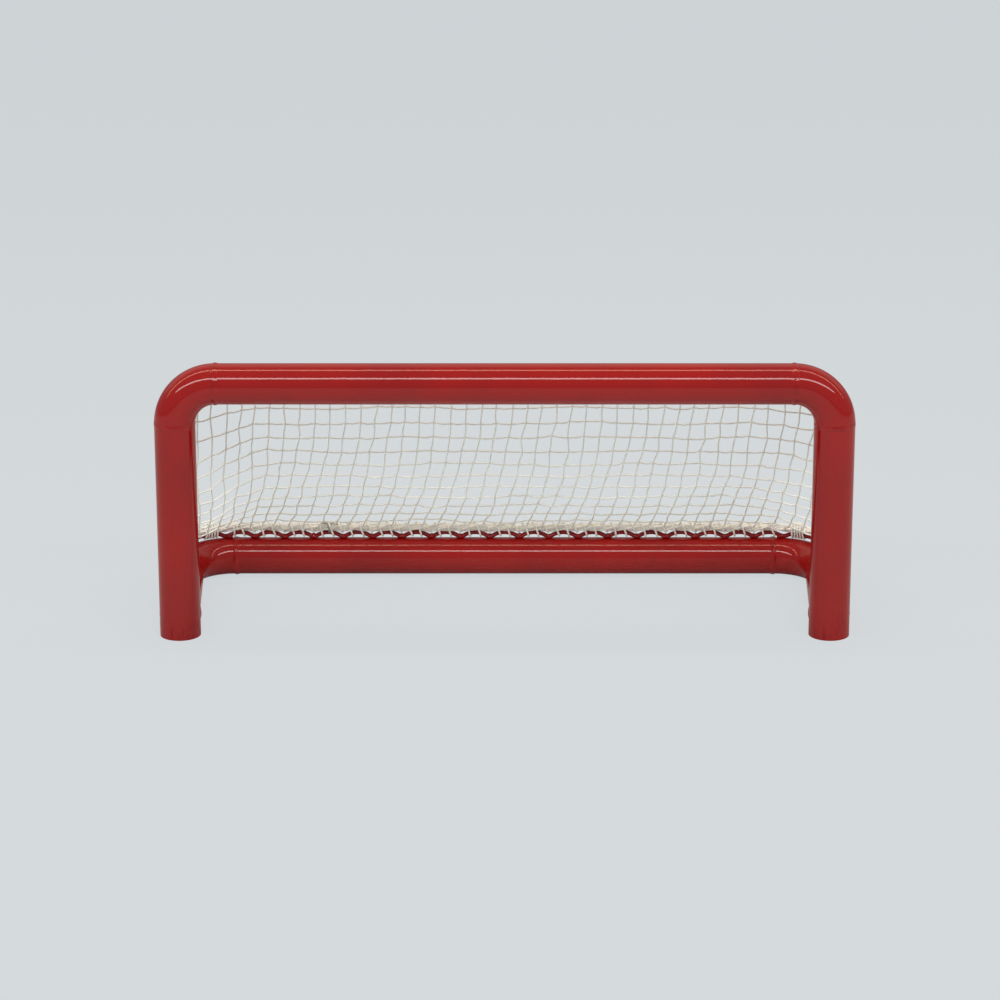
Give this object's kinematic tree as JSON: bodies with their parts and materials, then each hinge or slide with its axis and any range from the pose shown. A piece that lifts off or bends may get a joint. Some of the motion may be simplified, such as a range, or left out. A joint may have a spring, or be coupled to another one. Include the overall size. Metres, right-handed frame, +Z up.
{
  "type": "hockey goal net",
  "caption": "Low wide steel practice goal for ice hockey: welded round-tube front frame and U base, bent lacing rods, and a knotted net laced over the open back and sides.",
  "frame": {"origin": "on the ground, at the centre of the footprint", "axes": "+Z up, +X along the crossbar to the goal's right as seen from the shooter, +Y from the goal mouth to the rear base tube"},
  "size_m": [0.931, 0.3088, 0.3732],
  "materials": {
    "frame_paint": "gloss red coat over welded steel tube",
    "weld_paint": "the same coat over weld beads",
    "rod_paint": "gloss red coat over bent steel rod",
    "net_twine": "knotted off-white twine",
    "border_rope": "cream laid rope",
    "lacing_cord": "cream twisted cord"
  },
  "bodies": {
    "root": {"crossbar": "frame_paint", "left_post": "frame_paint", "right_post": "frame_paint", "left_top_elbow": "frame_paint", "right_top_elbow": "frame_paint", "rear_base_tube": "frame_paint", "left_base_tube": "frame_paint", "right_base_tube": "frame_paint", "left_rear_elbow": "frame_paint", "right_rear_elbow": "frame_paint", "top_elbow_welds": "weld_paint", "rear_elbow_welds": "weld_paint", "foot_welds": "weld_paint", "crossbar_lacing_rod": "rod_paint", "left_post_lacing_rod": "rod_paint", "right_post_lacing_rod": "rod_paint", "left_top_corner_rod": "rod_paint", "right_top_corner_rod": "rod_paint", "rear_lacing_rod": "rod_paint", "left_base_lacing_rod": "rod_paint", "right_base_lacing_rod": "rod_paint", "left_rear_corner_rod": "rod_paint", "right_rear_corner_rod": "rod_paint", "net_back": "net_twine", "net_left_side": "net_twine", "net_right_side": "net_twine", "net_left_corner": "net_twine", "net_right_corner": "net_twine", "front_border_rope": "border_rope", "base_border_rope": "border_rope", "crossbar_lacing_cord": "lacing_cord", "left_post_lacing_cord": "lacing_cord", "right_post_lacing_cord": "lacing_cord", "rear_lacing_cord": "lacing_cord", "left_base_lacing_cord": "lacing_cord", "right_base_lacing_cord": "lacing_cord", "left_top_tie": "lacing_cord", "right_top_tie": "lacing_cord", "left_rear_tie": "lacing_cord", "right_rear_tie": "lacing_cord"}
  },
  "joints": []
}
